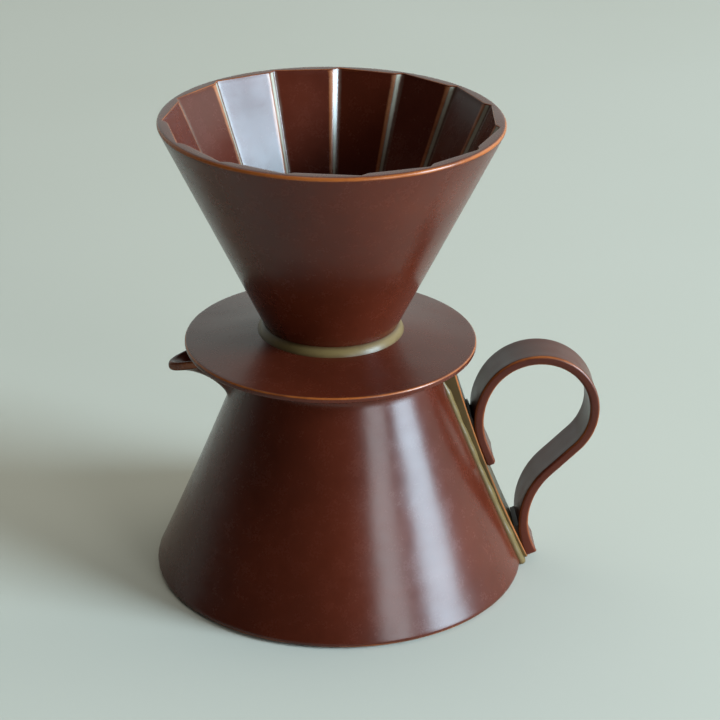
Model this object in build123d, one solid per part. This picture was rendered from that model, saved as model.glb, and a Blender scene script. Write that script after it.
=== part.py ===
from build123d import *
import os
from math import atan, cos, hypot, radians, sin, sqrt, tan

os.makedirs("parts", exist_ok=True)

# Pour-over coffee set in glazed stoneware: a conical dripper with its own saucer stands on a
# conical server with a pinched spout and a ribbon handle luted on over a backing strip.
# Origin: centre of the server's foot, on the table. +Z up, handle along +X, spout along -X.

# ---- server, driving dimensions (mm) ----
SERVER_FOOT_R = 66.9          # outside of the wall, carried down to the table
SERVER_TAPER = 0.413          # radius lost per mm of height
WALL_BOW = 0.6                # the wall is bowed inwards by this much half way up
SERVER_WALL = 3.2
WALL_BOTTOM_Z = 0.4
FOOT_EDGE_ROUND = 1.3
BASE_BOTTOM_Z = 1.5
BASE_T = 4.2
FOOT_RING_OUT_R = 61.5
FOOT_RING_IN_R = 55.5
INNER_COIL = 4.0              # leg of the coil pressed into the inside corner of the floor

NECK_Z = 77.0                 # wall ends, flared collar starts
LIP_Z = 85.0
LIP_R = 42.0
LIP_EDGE_T = 2.6
MOUTH_R = 38.6                # inside of the collar at its top

# ---- pinched spout: outer section by distance from the axis ----
# (distance, top edge z, keel z, half width at the top, half width at the keel)
SPOUT_SECTIONS = [
    (30.0, 84.8, 47.0, 15.5, 6.0),
    (40.5, 84.8, 66.0, 13.5, 5.4),
    (47.5, 84.2, 71.6, 8.8, 4.6),
    (55.0, 82.6, 75.4, 5.6, 4.0),
    (60.8, 79.1, 76.2, 3.9, 3.3),
]
SPOUT_WALL = 2.2
SPOUT_SIDE_WALL_TIP = 1.2
SPOUT_OPEN_TOP_Z = 95.0       # the channel is open above, so its cutter runs up past the lip

# ---- handle ----
STRIP_W = 17.0
STRIP_T = 2.4                 # at its lower end and under the strap's tail
STRIP_TOP_T = 4.8             # higher up it bridges the hollow under the lip
STRIP_MIDDLE_Z = 45.0
STRIP_BOTTOM_Z = 0.8
STRIP_TOP_Z = 80.0
STRIP_SINK = 2.0              # the slab reaches this far in, to be cut back to the round wall
END_ROUND = 1.6               # corner radius of the strip's and the strap's lower ends
STRAP_W = 16.5
STRAP_T = 3.4
STRAP_EDGE_ROUND = 1.2
LOOP_R = 20.2                 # centre line of the finger loop
LOOP_X = 70.0
LOOP_Z = 60.4
TAIL_BEND_R = 26.0            # wider bend that eases the tail off the strip into the loop
LOOP_LEAVES_AT = 45.0         # degrees below +X where the loop runs out into the straight
SWAN_R = 28.0                 # reverse bend that lays the strap back on the strip
STRAP_SINK = 0.3              # the strap is pressed this far into the strip
TAIL_LENGTH = 8.0
STRAP_FOOT_Z = 1.2
SEAM_R = 1.9
TAIL_JOINT_REACH = 11.0       # slip pressed into the two notches between strap and strip
FOOT_JOINT_REACH = 8.0
JOINT_T = 1.5
JOINT_INSET = 1.0

# ---- dripper ----
DRIPPER_SHIFT = -3.6          # it stands this far towards the spout, inside its play
RIM_Z = 167.9
RIM_R = 59.5
CONE_TAPER = 0.487
RIM_ROUND = 1.1
TIP_Z = 79.5
FACETS = 15
RIDGE_AZIMUTH = 87.3          # one ridge stands here, the rest follow round
RIDGE_ANGLE = 2.6             # width of the slanted step face, degrees
RIDGE_WALL = 4.3              # lip thickness on a ridge
VALLEY_WALL = 2.6             # lip thickness just before the next ridge
SAUCER_GAP = 0.3
SAUCER_EDGE_R = 51.1
SAUCER_EDGE_Z = 85.5
SAUCER_EDGE_T = 2.4
SAUCER_EDGE_ROUND = 0.9
SAUCER_SEAT_R = 46.0          # flat underside up to here, then it lifts to the edge
BEAD_OUT_R = 25.4
BEAD_Z = 91.0
BEAD_TOP_Z = 93.4
RING_OUT_R = 27.9
RING_T = 3.0
RING_BOTTOM_Z = 77.6
RING_COIL = 2.2


# ---- shared helpers ----
SEAM_AZIMUTH = 100.0          # where every turned face closes on itself


def wall_radius(z):
    """Outside radius of the server's wall at a height."""
    share = z / NECK_Z
    return SERVER_FOOT_R - SERVER_TAPER * z - 4 * WALL_BOW * share * (1 - share)


def cone_radius(z):
    """Outside radius of the dripper's cone at a height."""
    return RIM_R - CONE_TAPER * (RIM_Z - z)


def turned(outline, shift=0.0):
    """Turn an outline about Z; the seam of the turning stays clear of handle and spout."""
    return Pos(shift, 0, 0) * Rot(0, 0, SEAM_AZIMUTH) * revolve(make_face(outline), Axis.Z)


def ring_of(points, shift=0.0):
    """Solid of revolution about Z from a closed outline of (radius, z) points."""
    return turned(Polyline(*[(r, 0, z) for r, z in points], close=True), shift)


def solid_cone(radius_at, low, high, shift=0.0):
    """Full frustum between two heights, following a radius rule."""
    return ring_of([(0, low), (radius_at(low), low), (radius_at(high), high), (0, high)], shift)


def bowed_side(radius_at, low, high):
    """Side line of the server's wall between two heights."""
    middle = 0.5 * (low + high)
    return ThreePointArc(*[(radius_at(z), 0, z) for z in (low, middle, high)])


def solid_bowed_cone(radius_at, low, high):
    """Full body inside a bowed side line."""
    side = bowed_side(radius_at, low, high)
    return turned([side, Polyline(side @ 1, (0, 0, high), (0, 0, low), side @ 0)])


def save(shape, name):
    """One solid per node."""
    solids = shape.solids()
    largest = max(solids, key=lambda solid: solid.volume)
    export_step(largest, f"parts/{name}.step")
    return largest


WALL_LEAN = atan(SERVER_TAPER)
ACROSS_WALL = SERVER_WALL / cos(WALL_LEAN)    # wall thickness measured level
NECK_R = wall_radius(NECK_Z)
BASE_TOP_Z = BASE_BOTTOM_Z + BASE_T


def inner_radius(z):
    """Inside radius of the server's wall at a height."""
    return wall_radius(z) - ACROSS_WALL


# ---- pinched spout ----
def spout_section(distance, top, bottom, half_top, half_bottom):
    """Level-topped trough section standing across the pouring direction."""
    corners = [
        (-distance, -half_top, top),
        (-distance, half_top, top),
        (-distance, half_bottom, bottom),
        (-distance, -half_bottom, bottom),
    ]
    return make_face(Polyline(*corners, close=True))


def spout_outside():
    return loft([spout_section(*values) for values in SPOUT_SECTIONS], ruled=True)


def spout_channel():
    """The hollow of the spout, open at the top and past its tip."""
    first = SPOUT_SECTIONS[0][0]
    length = SPOUT_SECTIONS[-1][0] - first
    hollows = []
    for distance, top, keel, half_top, half_keel in SPOUT_SECTIONS:
        thinning = (distance - first) / length
        side = SPOUT_WALL + (SPOUT_SIDE_WALL_TIP - SPOUT_WALL) * thinning
        steep = (half_top - half_keel) / (top - keel)
        open_half = half_top + steep * (SPOUT_OPEN_TOP_Z - top) - side
        floor_half = max(half_keel - side, half_keel * 0.4)
        hollows.append((distance, SPOUT_OPEN_TOP_Z, keel + SPOUT_WALL, open_half, floor_half))
    past_tip = list(hollows[-1])
    past_tip[0] += 2.0
    sections = [spout_section(*values) for values in hollows + [tuple(past_tip)]]
    return loft(sections, ruled=True)


beak = spout_outside()
channel = spout_channel()
server_hollow = solid_bowed_cone(inner_radius, BASE_TOP_Z, NECK_Z)
mouth_hollow = ring_of([(0, NECK_Z), (inner_radius(NECK_Z), NECK_Z), (MOUTH_R, LIP_Z), (0, LIP_Z)])


# ---- server body ----
def server_wall():
    outside = bowed_side(wall_radius, WALL_BOTTOM_Z, NECK_Z)
    inside = bowed_side(inner_radius, WALL_BOTTOM_Z, NECK_Z)
    wall = turned([outside, Line(outside @ 1, inside @ 1), inside, Line(inside @ 0, outside @ 0)])
    foot_edge = wall.edges().group_by(Axis.Z)[0].sort_by(SortBy.RADIUS)[-1]
    return fillet(foot_edge, FOOT_EDGE_ROUND) - beak - channel


server_wall_solid = server_wall()


def server_base():
    return solid_bowed_cone(inner_radius, BASE_BOTTOM_Z, BASE_TOP_Z)


def foot_ring():
    return ring_of([
        (FOOT_RING_IN_R, 0.0),
        (FOOT_RING_OUT_R, 0.0),
        (FOOT_RING_OUT_R, BASE_BOTTOM_Z),
        (FOOT_RING_IN_R, BASE_BOTTOM_Z),
    ])


def inner_base_coil():
    corner_r = inner_radius(BASE_TOP_Z)
    upper_z = BASE_TOP_Z + INNER_COIL
    arc = ThreePointArc(
        (corner_r - INNER_COIL, 0, BASE_TOP_Z),
        (corner_r - 0.45 * INNER_COIL, 0, BASE_TOP_Z + 0.35 * INNER_COIL),
        (inner_radius(upper_z), 0, upper_z),
    )
    back = bowed_side(inner_radius, BASE_TOP_Z, upper_z)
    return turned([arc, back, Line(back @ 0, arc @ 0)]) - server_wall_solid


def server_lip():
    """Collar flared outwards to a level rim that the dripper's saucer rests on."""
    edge_z = LIP_Z - LIP_EDGE_T
    outside = ThreePointArc(
        (NECK_R, 0, NECK_Z),
        (NECK_R + 1.1, 0, 0.5 * (NECK_Z + edge_z) + 0.6),
        (LIP_R - 0.5 * LIP_EDGE_T, 0, edge_z),
    )
    nose = ThreePointArc(
        outside @ 1,
        (LIP_R, 0, LIP_Z - 0.5 * LIP_EDGE_T),
        (LIP_R - 0.5 * LIP_EDGE_T, 0, LIP_Z),
    )
    rest = Polyline(nose @ 1, (MOUTH_R, 0, LIP_Z), (inner_radius(NECK_Z), 0, NECK_Z), outside @ 0)
    return turned([outside, nose, rest]) - beak - channel


def pouring_spout():
    return beak - channel - server_hollow - mouth_hollow


# ---- handle ----
# Directions in the upright plane through the handle: along the wall, and square out of it.
UP_WALL = Vector(-sin(WALL_LEAN), 0, cos(WALL_LEAN))
OUT_OF_WALL = Vector(cos(WALL_LEAN), 0, sin(WALL_LEAN))


def wall_point(z, out=0.0):
    """Point over the handle's line on the wall, lifted squarely off it."""
    return Vector(wall_radius(z), 0, z) + OUT_OF_WALL * out


def wall_plane(z, out=0.0):
    """Work plane lying along the wall: local x runs across the handle, local y up the wall."""
    return Plane(origin=wall_point(z, out), x_dir=(0, 1, 0), z_dir=OUT_OF_WALL)


def tab(width, length, low_z, out, depth):
    """Flat tongue lying along the wall, its lower end rounded."""
    outline = Pos(0, length / 2) * Rectangle(width, length)
    lower = outline.vertices().group_by(Axis.Y)[0]
    outline = fillet(lower, END_ROUND)
    return extrude(wall_plane(low_z, out) * outline, depth)


def along_wall(low, high):
    """Distance along the wall between two heights."""
    return (high - low) / cos(WALL_LEAN)


wall_envelope = solid_bowed_cone(wall_radius, 0.0, NECK_Z)


def strip_body():
    """The strip before it is cut to the wall: hollow in side view, its lower end rounded."""
    ends = (STRIP_BOTTOM_Z, STRIP_TOP_Z)
    outer = ThreePointArc(
        wall_point(STRIP_BOTTOM_Z, STRIP_T),
        wall_point(STRIP_MIDDLE_Z, STRIP_T),
        wall_point(STRIP_TOP_Z, STRIP_TOP_T),
    )
    lower, upper = [wall_point(z, -STRIP_SINK) for z in ends]
    side_view = make_face([outer, Polyline(outer @ 1, upper, lower, outer @ 0)])
    tongue = tab(STRIP_W, along_wall(*ends), STRIP_BOTTOM_Z, -2 * STRIP_SINK, 2 * STRIP_SINK + 2 * STRIP_TOP_T)
    return extrude(side_view, STRIP_W, both=True) & tongue


strip_slab = strip_body()


def handle_backing_strip():
    return strip_slab - wall_envelope - server_lip_solid


STRAP_OFFSET = STRIP_T - STRAP_SINK + STRAP_T / 2    # strap's centre line above the wall


loop_centre = Vector(LOOP_X, 0, LOOP_Z)


def tail_bend_centre():
    """The bend touches the strap's bonded line and, further up, the finger loop."""
    off_line = (loop_centre - wall_point(STRIP_MIDDLE_Z, STRAP_OFFSET)).dot(OUT_OF_WALL)
    outwards = TAIL_BEND_R - off_line
    downwards = sqrt((TAIL_BEND_R - LOOP_R) ** 2 - outwards ** 2)
    return loop_centre + OUT_OF_WALL * outwards - UP_WALL * downwards


def strap_path():
    """Tail on the strip, round the finger loop, down the swan bend, foot on the strip."""
    bend_centre = tail_bend_centre()
    tail_end = bend_centre - OUT_OF_WALL * TAIL_BEND_R
    tail_start = tail_end - UP_WALL * TAIL_LENGTH
    loop_start = loop_centre + (loop_centre - bend_centre).normalized() * LOOP_R
    halfway = (tail_end + loop_start) * 0.5 - bend_centre
    tail_bend_middle = bend_centre + halfway.normalized() * TAIL_BEND_R
    leave = radians(LOOP_LEAVES_AT)
    loop_end = loop_centre + Vector(cos(leave), 0, -sin(leave)) * LOOP_R
    run = Vector(-sin(leave), 0, -cos(leave))

    # Where the straight would cross the bonded line, and how far the bend starts before it.
    foot_end = wall_point(STRAP_FOOT_Z, STRAP_OFFSET)
    gap = (loop_end - foot_end).dot(OUT_OF_WALL)
    crossing = loop_end + run * (gap / -run.dot(OUT_OF_WALL))
    turn = run.get_angle(-UP_WALL)
    tangent = SWAN_R * tan(radians(turn) / 2)
    swan_start = crossing - run * tangent
    swan_end = crossing - UP_WALL * tangent
    to_middle = (swan_start + swan_end) * 0.5 - crossing
    reach = hypot(SWAN_R, tangent) - SWAN_R
    swan_middle = crossing + to_middle.normalized() * reach

    over_the_top = loop_centre + Vector(0, 0, LOOP_R)
    return Wire([
        Line(tail_start, tail_end),
        ThreePointArc(tail_end, tail_bend_middle, loop_start),
        ThreePointArc(loop_start, over_the_top, loop_end),
        Line(loop_end, swan_start),
        ThreePointArc(swan_start, swan_middle, swan_end),
        Line(swan_end, foot_end),
    ])


def handle_strap():
    path = strap_path()
    start = Plane(origin=path @ 0, x_dir=(0, 1, 0), z_dir=path % 0)
    strap = sweep(start * RectangleRounded(STRAP_W, STRAP_T, STRAP_EDGE_ROUND), path=path)
    square_end = wall_plane(STRAP_FOOT_Z, STRAP_OFFSET) * Box(
        STRAP_W + 2, 2 * END_ROUND, 2 * STRAP_T
    )
    rounded_end = tab(STRAP_W, 2 * END_ROUND, STRAP_FOOT_Z, 0.0, STRAP_OFFSET + 2 * STRAP_T)
    return strap - (square_end - rounded_end) - strip_solid


def notch_slip(z, reach):
    """Slip pressed into the notch where the strap lifts off the strip, from this height up."""
    width = STRAP_W - 2 * JOINT_INSET
    low, high = STRIP_T - STRAP_SINK, STRIP_T + JOINT_T
    slab = Pos(0, reach / 2, 0.5 * (high - low)) * Box(width, reach, high - low)
    return wall_plane(z, low) * slab - strap_solid - strip_solid


def strap_tail_joint():
    leaves_line = tail_bend_centre() - OUT_OF_WALL * TAIL_BEND_R
    return notch_slip(leaves_line.Z, TAIL_JOINT_REACH)


def strap_foot_joint():
    swan_end = strap_path().edges()[4] @ 1
    return notch_slip(swan_end.Z, FOOT_JOINT_REACH)


def strip_seam(side):
    """Bead of slip and pooled glaze along one long edge of the strip."""
    offset = side * STRIP_W / 2
    low, high = STRIP_BOTTOM_Z + END_ROUND, STRIP_TOP_Z - 6.0
    ends = [Vector(sqrt(wall_radius(z) ** 2 - offset ** 2), offset, z) for z in (low, high)]
    along = ends[1] - ends[0]
    bead = extrude(Plane(origin=ends[0], z_dir=along) * Circle(SEAM_R), along.length)
    return bead - server_wall_solid - strip_slab


# ---- dripper body ----
def ratchet_outline(z):
    """Inside outline of the cone: long flat facets, each ending in a narrow slanted step."""
    scale = cone_radius(z) / RIM_R
    ridge_r = (RIM_R - RIDGE_WALL) * scale
    valley_r = (RIM_R - VALLEY_WALL) * scale
    points = []
    for facet in range(FACETS):
        ridge = RIDGE_AZIMUTH + facet * 360.0 / FACETS
        for radius, azimuth in ((valley_r, ridge - RIDGE_ANGLE), (ridge_r, ridge)):
            angle = radians(azimuth)
            points.append((radius * cos(angle), radius * sin(angle), z))
    return make_face(Polyline(*points, close=True))


def dripper_cone():
    body = solid_cone(cone_radius, TIP_Z, RIM_Z)
    rim = body.edges().group_by(Axis.Z)[-1]
    body = fillet(rim, RIM_ROUND)
    inside = loft([ratchet_outline(TIP_Z - 1.0), ratchet_outline(RIM_Z + 1.0)], ruled=True)
    return Pos(DRIPPER_SHIFT, 0, 0) * (body - inside)


UNDERSIDE_Z = LIP_Z + SAUCER_GAP
cone_envelope = solid_cone(cone_radius, TIP_Z - 5.0, RIM_Z, DRIPPER_SHIFT)


def dripper_saucer():
    hub_r = cone_radius(UNDERSIDE_Z) - 2.0
    saucer = ring_of([
        (hub_r, UNDERSIDE_Z),
        (SAUCER_SEAT_R, UNDERSIDE_Z),
        (SAUCER_EDGE_R, SAUCER_EDGE_Z),
        (SAUCER_EDGE_R, SAUCER_EDGE_Z + SAUCER_EDGE_T),
        (BEAD_OUT_R, BEAD_Z),
        (hub_r, BEAD_Z),
    ], DRIPPER_SHIFT)
    rim_edges = [
        edge for edge in saucer.edges().filter_by(GeomType.CIRCLE)
        if abs(edge.radius - SAUCER_EDGE_R) < 0.01
    ]
    return fillet(rim_edges, SAUCER_EDGE_ROUND) - cone_envelope


def cone_joint_bead():
    """Rounded coil and pooled glaze where the cone rises out of the saucer."""
    inner = cone_radius(BEAD_TOP_Z) - 1.0
    middle_r = 0.5 * (BEAD_OUT_R + cone_radius(BEAD_TOP_Z)) + 0.7
    middle_z = 0.5 * (BEAD_Z + BEAD_TOP_Z) + 0.5
    bulge = ThreePointArc(
        (BEAD_OUT_R, 0, BEAD_Z),
        (middle_r, 0, middle_z),
        (cone_radius(BEAD_TOP_Z), 0, BEAD_TOP_Z),
    )
    rest = Polyline(bulge @ 1, (inner, 0, BEAD_TOP_Z), (inner, 0, BEAD_Z), bulge @ 0)
    return turned([bulge, rest], DRIPPER_SHIFT) - cone_envelope


def locating_ring():
    """Ring under the saucer that keeps the dripper over the server's mouth."""
    ring = ring_of([
        (RING_OUT_R - RING_T, RING_BOTTOM_Z),
        (RING_OUT_R, RING_BOTTOM_Z),
        (RING_OUT_R, UNDERSIDE_Z),
        (RING_OUT_R - RING_T, UNDERSIDE_Z),
    ], DRIPPER_SHIFT)
    return fillet(ring.edges().group_by(Axis.Z)[0], 0.28 * RING_T)


def ring_joint_coil():
    """Coil smoothed into the corner between the locating ring and the saucer."""
    inner_r = RING_OUT_R - RING_T
    return ring_of([
        (inner_r, UNDERSIDE_Z),
        (inner_r, UNDERSIDE_Z - RING_COIL),
        (inner_r - 0.4 * RING_COIL, UNDERSIDE_Z - 0.4 * RING_COIL),
        (inner_r - RING_COIL, UNDERSIDE_Z),
    ], DRIPPER_SHIFT)


# ---- export, one node per piece ----
server_lip_solid = server_lip()
strip_solid = handle_backing_strip()
strap_solid = handle_strap()

save(server_wall_solid, "server_wall")
save(server_base(), "server_base")
save(foot_ring(), "foot_ring")
save(inner_base_coil(), "inner_base_coil")
save(server_lip_solid, "server_lip")
save(pouring_spout(), "pouring_spout")
save(strip_solid, "handle_backing_strip")
save(strap_solid, "handle_strap")
save(strap_tail_joint(), "strap_tail_joint")
save(strap_foot_joint(), "strap_foot_joint")
save(strip_seam(-1), "strip_seam_front")
save(strip_seam(1), "strip_seam_back")
save(dripper_cone(), "dripper_cone")
save(dripper_saucer(), "dripper_saucer")
save(cone_joint_bead(), "cone_joint_bead")
save(locating_ring(), "locating_ring")
save(ring_joint_coil(), "ring_joint_coil")
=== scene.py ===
from math import atan, atan2, ceil, cos, degrees, exp, hypot, pi, radians, sin, sqrt, tan

import bpy
import bmesh
from mathutils import Matrix, Vector


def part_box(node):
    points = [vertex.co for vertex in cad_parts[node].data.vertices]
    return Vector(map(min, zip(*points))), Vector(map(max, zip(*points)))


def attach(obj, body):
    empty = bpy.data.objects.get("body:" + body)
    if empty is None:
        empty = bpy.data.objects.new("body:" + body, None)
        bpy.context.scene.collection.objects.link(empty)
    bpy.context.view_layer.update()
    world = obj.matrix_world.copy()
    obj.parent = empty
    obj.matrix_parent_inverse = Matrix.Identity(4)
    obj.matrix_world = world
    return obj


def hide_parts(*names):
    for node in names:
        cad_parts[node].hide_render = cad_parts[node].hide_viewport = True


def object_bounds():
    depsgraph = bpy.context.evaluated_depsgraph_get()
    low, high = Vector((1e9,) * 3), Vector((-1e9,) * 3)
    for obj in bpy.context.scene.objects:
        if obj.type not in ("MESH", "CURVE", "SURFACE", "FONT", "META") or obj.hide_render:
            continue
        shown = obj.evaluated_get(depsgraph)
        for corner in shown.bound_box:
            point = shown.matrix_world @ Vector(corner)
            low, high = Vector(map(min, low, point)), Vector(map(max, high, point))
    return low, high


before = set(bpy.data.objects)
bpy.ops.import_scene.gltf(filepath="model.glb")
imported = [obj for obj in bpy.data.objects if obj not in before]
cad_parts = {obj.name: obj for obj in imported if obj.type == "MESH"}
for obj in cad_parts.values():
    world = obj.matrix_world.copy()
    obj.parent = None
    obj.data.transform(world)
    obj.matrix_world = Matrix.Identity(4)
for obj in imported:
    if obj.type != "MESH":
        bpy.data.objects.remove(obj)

cad_low, cad_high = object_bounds()
MM = 0.001

# ---- sizes read from the frame (metres) ----
cone_low, cone_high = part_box("dripper_cone")
saucer_low, saucer_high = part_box("dripper_saucer")
ring_low, ring_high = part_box("locating_ring")
wall_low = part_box("server_wall")[0]
lip_low, lip_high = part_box("server_lip")
base_low, base_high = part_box("server_base")
foot_low, foot_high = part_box("foot_ring")
spout_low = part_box("pouring_spout")[0]
strip_low, strip_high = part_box("handle_backing_strip")
strap_low, strap_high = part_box("handle_strap")
bead_low, bead_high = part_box("cone_joint_bead")

DRIPPER_X = 0.5 * (cone_low.x + cone_high.x)
RIM_Z = cone_high.z
TIP_Z = cone_low.z
LIP_Z = lip_high.z
NECK_Z = lip_low.z
LIP_R = lip_high.y
SPOUT_TIP_R = -spout_low.x
SAUCER_R = 0.5 * (saucer_high.x - saucer_low.x)
UNDERSIDE_Z = saucer_low.z
BEAD_Z = saucer_high.z
BEAD_TOP_Z = bead_high.z
BEAD_OUT_R = 0.5 * (bead_high.x - bead_low.x)
RING_OUT_R = 0.5 * (ring_high.x - ring_low.x)
STRIP_W = strip_high.y - strip_low.y
STRAP_W = strap_high.y - strap_low.y
STRIP_BOTTOM_Z = strip_low.z
BASE_TOP_Z = base_high.z

# ---- the design's own slopes and wall sizes ----
SERVER_FOOT_R = 66.9 * MM     # outside of the wall, carried down to the table
SERVER_TAPER = 0.413          # radius lost per height
WALL_BOW = 0.6 * MM           # the wall is bowed inwards by this much half way up
SERVER_WALL = 3.2 * MM
MOUTH_R = 38.6 * MM
RIM_R = 59.5 * MM
CONE_TAPER = 0.487
FACETS = 15
RIDGE_AZIMUTH = 87.3          # one ridge stands here, the rest follow round
RIDGE_ANGLE = 2.6             # width of the slanted step face, degrees
RIDGE_WALL = 4.3 * MM         # lip thickness on a ridge
VALLEY_WALL = 2.6 * MM        # lip thickness just before the next ridge
STRIP_T = 2.4 * MM            # at its lower end and under the strap's tail
STRIP_TOP_T = 4.8 * MM        # higher up it bridges the hollow under the lip
STRIP_MIDDLE_Z = 45.0 * MM
STRIP_TOP_Z = 80.0 * MM
STRAP_T = 3.4 * MM
END_ROUND = 1.6 * MM          # corner radius of the strip's and the strap's lower ends
LOOP_R = 20.2 * MM            # centre line of the finger loop
LOOP_CENTRE = Vector((70.0, 0.0, 60.4)) * MM
TAIL_BEND_R = 26.0 * MM       # wider bend that eases the tail off the strip into the loop
LOOP_LEAVES_AT = 45.0         # degrees below +X where the loop runs out into the straight
SWAN_R = 28.0 * MM            # reverse bend that lays the strap back on the strip
STRAP_SINK = 0.3 * MM         # the strap is pressed this far into the strip
TAIL_LENGTH = 8.0 * MM
STRAP_FOOT_Z = 1.2 * MM
SEAM_R = 1.9 * MM

WALL_LEAN = atan(SERVER_TAPER)
CONE_LEAN = atan(CONE_TAPER)
ACROSS_WALL = SERVER_WALL / cos(WALL_LEAN)


def wall_radius(z):
    """Outside radius of the server's wall at a height."""
    share = z / NECK_Z
    return SERVER_FOOT_R - SERVER_TAPER * z - 4 * WALL_BOW * share * (1 - share)


def inner_radius(z):
    """Inside radius of the server's wall at a height."""
    return wall_radius(z) - ACROSS_WALL


def cone_radius(z):
    """Outside radius of the dripper's cone at a height."""
    return RIM_R - CONE_TAPER * (RIM_Z - z)


# ---- curve helpers: every outline point is (radius, height, edge, pool and painted sheen) ----
# edge is how far the glaze has run thin off an arris, pool how thickly it has gathered.
# on the cone's step faces that value is a painted reflection, on the bead's shoulder partly a painted
# highlight
def straight(start, end, steps, edge=0.0, pool_and_sheen=0.0):
    """Straight run, without its last point."""
    return [
        (
            start[0] + (end[0] - start[0]) * i / steps,
            start[1] + (end[1] - start[1]) * i / steps,
            edge,
            pool_and_sheen,
        )
        for i in range(steps)
    ]


def curve(a, b, c, d, steps, edge=0.0, pool_and_sheen=0.0):
    """Bezier run, without its last point."""
    points = []
    for i in range(steps):
        t = i / steps
        weights = ((1 - t) ** 3, 3 * t * (1 - t) ** 2, 3 * t * t * (1 - t), t ** 3)
        points.append((
            sum(w * p[0] for w, p in zip(weights, (a, b, c, d))),
            sum(w * p[1] for w, p in zip(weights, (a, b, c, d))),
            edge,
            pool_and_sheen,
        ))
    return points


def up_wall(radius_at, start_z, end_z, steps):
    """Run along the server's bowed wall, without its last point."""
    heights = [start_z + (end_z - start_z) * i / steps for i in range(steps)]
    return [(radius_at(z), z, 0.0, 0.0) for z in heights]


def rounding(centre, radius, start, end, steps, edge=1.0):
    """Arc between two directions, in degrees in the outline's plane; thinnest glaze half way."""
    points = []
    for i in range(steps):
        angle = radians(start + (end - start) * i / steps)
        points.append((
            centre[0] + radius * cos(angle),
            centre[1] + radius * sin(angle),
            edge * sin(pi * (i + 0.5) / steps),
            0.0,
        ))
    return points


def wander(azimuth, z, amount):
    """Slight unevenness left by the hand: a few slow waves round and up the pot."""
    return amount * (
        0.5 * sin(2 * azimuth + 0.7 + 18 * z)
        + 0.3 * sin(3 * azimuth - 1.1 - 31 * z)
        + 0.2 * sin(5 * azimuth + 2.3 + 47 * z)
    )


# ---- mesh helpers ----
def side_faces(rows, count, closed):
    """Quads between neighbouring rows of points; a closed skin also joins its last row to its first."""
    faces = []
    for row in range(rows if closed else rows - 1):
        following = (row + 1) % rows
        for i in range(count):
            j = (i + 1) % count
            faces.append((
                row * count + i,
                following * count + i,
                following * count + j,
                row * count + j,
            ))
    return faces


def end_faces(rows, count):
    """The two flat ends of a bar made of rows of points."""
    return [tuple(range(count)), tuple((rows - 1) * count + i for i in range(count))]


def finish_mesh(name, vertices, faces, edges, pools_and_sheen):
    """Smooth-shaded object with edge and pool values; some pool values are painted reflection and
    highlight.
    """
    mesh = bpy.data.meshes.new(name)
    mesh.from_pydata(vertices, [], faces)
    shape = bmesh.new()
    shape.from_mesh(mesh)
    bmesh.ops.recalc_face_normals(shape, faces=shape.faces)
    shape.to_mesh(mesh)
    shape.free()
    for label, values in (("edge", edges), ("pool_and_sheen", pools_and_sheen)):
        attribute = mesh.attributes.new(label, "FLOAT", "POINT")
        attribute.data.foreach_set("value", values)
    mesh.shade_smooth()
    obj = bpy.data.objects.new(name, mesh)
    bpy.context.scene.collection.objects.link(obj)
    return obj


def skin(name, columns, centre_x=0.0, uneven=0.0):
    """Closed skin round a vertical axis, from (azimuth, outline) columns of equal length."""
    vertices, edges, pools_and_sheen = [], [], []
    for azimuth, outline in columns:
        for radius, z, edge, pool_and_sheen in outline:
            radius += wander(azimuth, z, uneven)
            vertices.append((centre_x + radius * cos(azimuth), radius * sin(azimuth), z))
            edges.append(edge)
            pools_and_sheen.append(pool_and_sheen)
    faces = side_faces(len(columns), len(columns[0][1]), closed=True)
    return finish_mesh(name, vertices, faces, edges, pools_and_sheen)


def even_azimuths(count):
    return [2 * pi * i / count for i in range(count)]


def turned(outline, count):
    """Columns of a plain turned piece: the same outline in every direction."""
    return [(azimuth, outline) for azimuth in even_azimuths(count)]


# ---- server: wall, lip and pinched spout are one continuous skin ----
FOOT_EDGE = 1.3 * MM          # rounding of the wall's lower edge
COIL_LEG = 4.0 * MM           # coil pressed into the inside corner of the floor
LIP_NOSE = 1.3 * MM           # rounding of the lip
SPOUT_START_Z = 58.0 * MM     # below this the wall doesn't feel the spout
SPOUT_LENGTH = 19.5 * MM      # from where the keel turns outwards to the tip
SPOUT_KEEL_Z = 75.9 * MM
SPOUT_TIP_Z = 77.9 * MM
SPOUT_HALF_ANGLE = 8.8        # degrees off its middle where the pinch has faded to a third
SPOUT_SHARPNESS = 2.1
SHELL_HALF_COUNT = 150        # columns on each side of the spout


def lower_outside():
    """Underside of the wall, its rounded foot edge and the plain wall above."""
    bottom = wall_low.z
    middle_z = bottom + FOOT_EDGE
    centre = (wall_radius(middle_z) - FOOT_EDGE / cos(WALL_LEAN), middle_z)
    points = straight((inner_radius(bottom), bottom), (centre[0], bottom), 2)
    points += rounding(centre, FOOT_EDGE, -90, degrees(WALL_LEAN), 8, edge=0.75)
    start = (centre[0] + FOOT_EDGE * cos(WALL_LEAN), centre[1] + FOOT_EDGE * sin(WALL_LEAN))
    points.append((*start, 0.3, 0.0))
    points += up_wall(wall_radius, start[1] + 0.8 * MM, SPOUT_START_Z, 40)
    return points


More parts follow.
